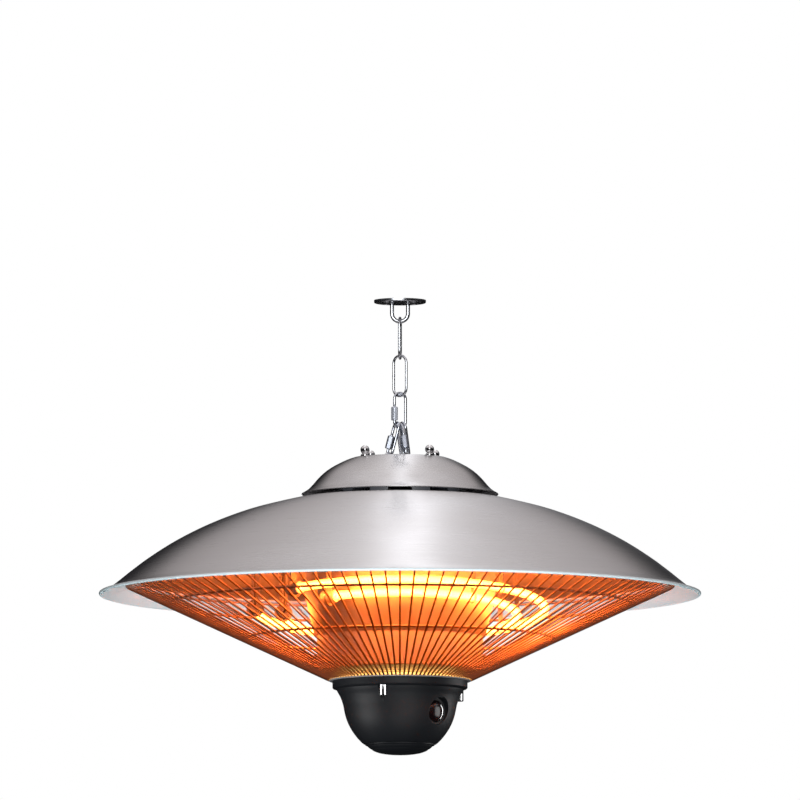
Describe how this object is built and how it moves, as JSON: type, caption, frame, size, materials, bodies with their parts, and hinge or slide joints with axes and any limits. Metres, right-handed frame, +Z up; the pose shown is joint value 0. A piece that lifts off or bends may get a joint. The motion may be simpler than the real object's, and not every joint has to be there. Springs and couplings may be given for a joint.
{
  "type": "ceiling infrared heater",
  "caption": "Ceiling hung infrared heater: brushed dome shade on a short chain, ring lamps behind a wire guard, black control bowl below.",
  "frame": {"origin": "middle of the ceiling plate's upper face, where it meets the ceiling", "axes": "+Z up, out of the ceiling plate's face into the ceiling; -Y the side seen in the picture, +X to its right; everything hangs below the origin"},
  "size_m": [0.602, 0.602, 0.456],
  "materials": {
    "zinc_steel": "bright zinc plated",
    "quick_link_steel": "zinc plated, slightly blue",
    "brushed_shade": "spun and brushed along the circumference",
    "cap_nut_chrome": "polished",
    "galvanised": "galvanised, dull",
    "rim_grey": "light grey satin paint",
    "reflector_aluminium": "bright, fine grained",
    "guard_chrome": "bright chromed wire",
    "quartz": "clear quartz, lit from inside",
    "filament": "glowing",
    "ceramic": "unglazed",
    "holder_steel": "thin stamped strip",
    "black_bracket": "black heat resistant paint",
    "disc_grey": "grey satin",
    "bowl_black": "fine matt grain",
    "lens": "dark translucent red, polished",
    "bezel": "black",
    "screw_chrome": "polished",
    "board_green": "solder mask",
    "relay_black": "moulded case",
    "transformer_iron": "laminated core",
    "terminal_white": "moulded",
    "gland_black": "moulded",
    "wire_rubber": "glass fibre sleeved"
  },
  "bodies": {
    "ceiling_mount": {"ceiling_plate": "zinc_steel", "ceiling_hook": "zinc_steel"},
    "upper_link": {"chain_link_upper": "zinc_steel"},
    "lower_link": {"chain_link_lower": "zinc_steel"},
    "master": {"master_link": "quick_link_steel"},
    "master_nut": {"master_link_nut": "quick_link_steel"},
    "heater": {"leg_link_left": "quick_link_steel", "leg_link_centre": "quick_link_steel", "leg_link_right": "quick_link_steel", "hanger_eyes": "zinc_steel", "eye_nuts": "galvanised", "hanger_plate": "galvanised", "cable_gland": "gland_black", "gland_locknut": "gland_black", "cap": "brushed_shade", "cap_nuts": "cap_nut_chrome", "cap_washers": "cap_nut_chrome", "cap_studs": "galvanised", "stud_nuts": "galvanised", "stud_spacers": "galvanised", "mounting_plate": "galvanised", "neck_ring": "black_bracket", "shade": "brushed_shade", "rim_ring": "rim_grey", "carrier_plate": "galvanised", "drum_upper": "reflector_aluminium", "drum_lower": "reflector_aluminium", "column_tube": "galvanised", "column_nuts": "galvanised", "reflector": "reflector_aluminium", "lamp_tube_outer": "quartz", "lamp_tube_inner": "quartz", "filament_outer": "filament", "filament_inner": "filament", "lamp_end_caps": "ceramic", "lamp_holders": "holder_steel", "tube_supports": "holder_steel", "lamp_leads": "wire_rubber", "guard_wires": "guard_chrome", "guard_top_ring": "guard_chrome", "guard_mid_rings": "guard_chrome", "guard_bottom_ring": "guard_chrome", "guard_clips": "holder_steel", "clip_screws": "screw_chrome", "guard_brackets": "black_bracket", "base_disc": "disc_grey", "housing": "bowl_black", "housing_bottom_cap": "bowl_black", "housing_screws": "screw_chrome", "receiver_lens": "lens", "lens_bezel": "bezel", "control_board": "board_green", "power_relays": "relay_black", "transformer": "transformer_iron", "terminal_block": "terminal_white", "thermal_cutout": "ceramic", "internal_wires": "wire_rubber"},
    "left_leg_nut": {"leg_link_left_nut": "quick_link_steel"},
    "centre_leg_nut": {"leg_link_centre_nut": "quick_link_steel"},
    "right_leg_nut": {"leg_link_right_nut": "quick_link_steel"}
  },
  "joints": [
    {"name": "upper_link_swing", "type": "hinge", "parent": "ceiling_mount", "child": "upper_link", "pos_m": [0, 0, -0.02145], "axis": [1, 0, 0], "range_deg": [-40, 40]},
    {"name": "lower_link_swing", "type": "hinge", "parent": "upper_link", "child": "lower_link", "pos_m": [0, 0, -0.05845], "axis": [0.0872, 0.9962, 0], "range_deg": [-40, 40]},
    {"name": "master_swing", "type": "hinge", "parent": "lower_link", "child": "master", "pos_m": [0, 0, -0.09615], "axis": [0.8192, -0.5736, 0], "range_deg": [-40, 40]},
    {"name": "heater_swing", "type": "hinge", "parent": "master", "child": "heater", "pos_m": [0, 0, -0.12835], "axis": [0.9063, 0.4226, 0], "range_deg": [-20, 20]},
    {"name": "master_nut_slide", "type": "slide", "parent": "master", "child": "master_nut", "axis": [0, 0, 1], "range_m": [0, 0.0078]},
    {"name": "left_leg_nut_slide", "type": "slide", "parent": "heater", "child": "left_leg_nut", "axis": [0.2466, -0.0417, 0.9682], "range_m": [0, 0.006]},
    {"name": "centre_leg_nut_slide", "type": "slide", "parent": "heater", "child": "centre_leg_nut", "axis": [-0.1317, 0.2823, 0.9502], "range_m": [0, 0.007]},
    {"name": "right_leg_nut_slide", "type": "slide", "parent": "heater", "child": "right_leg_nut", "axis": [-0.1266, -0.2157, 0.9682], "range_m": [0, 0.006]}
  ]
}
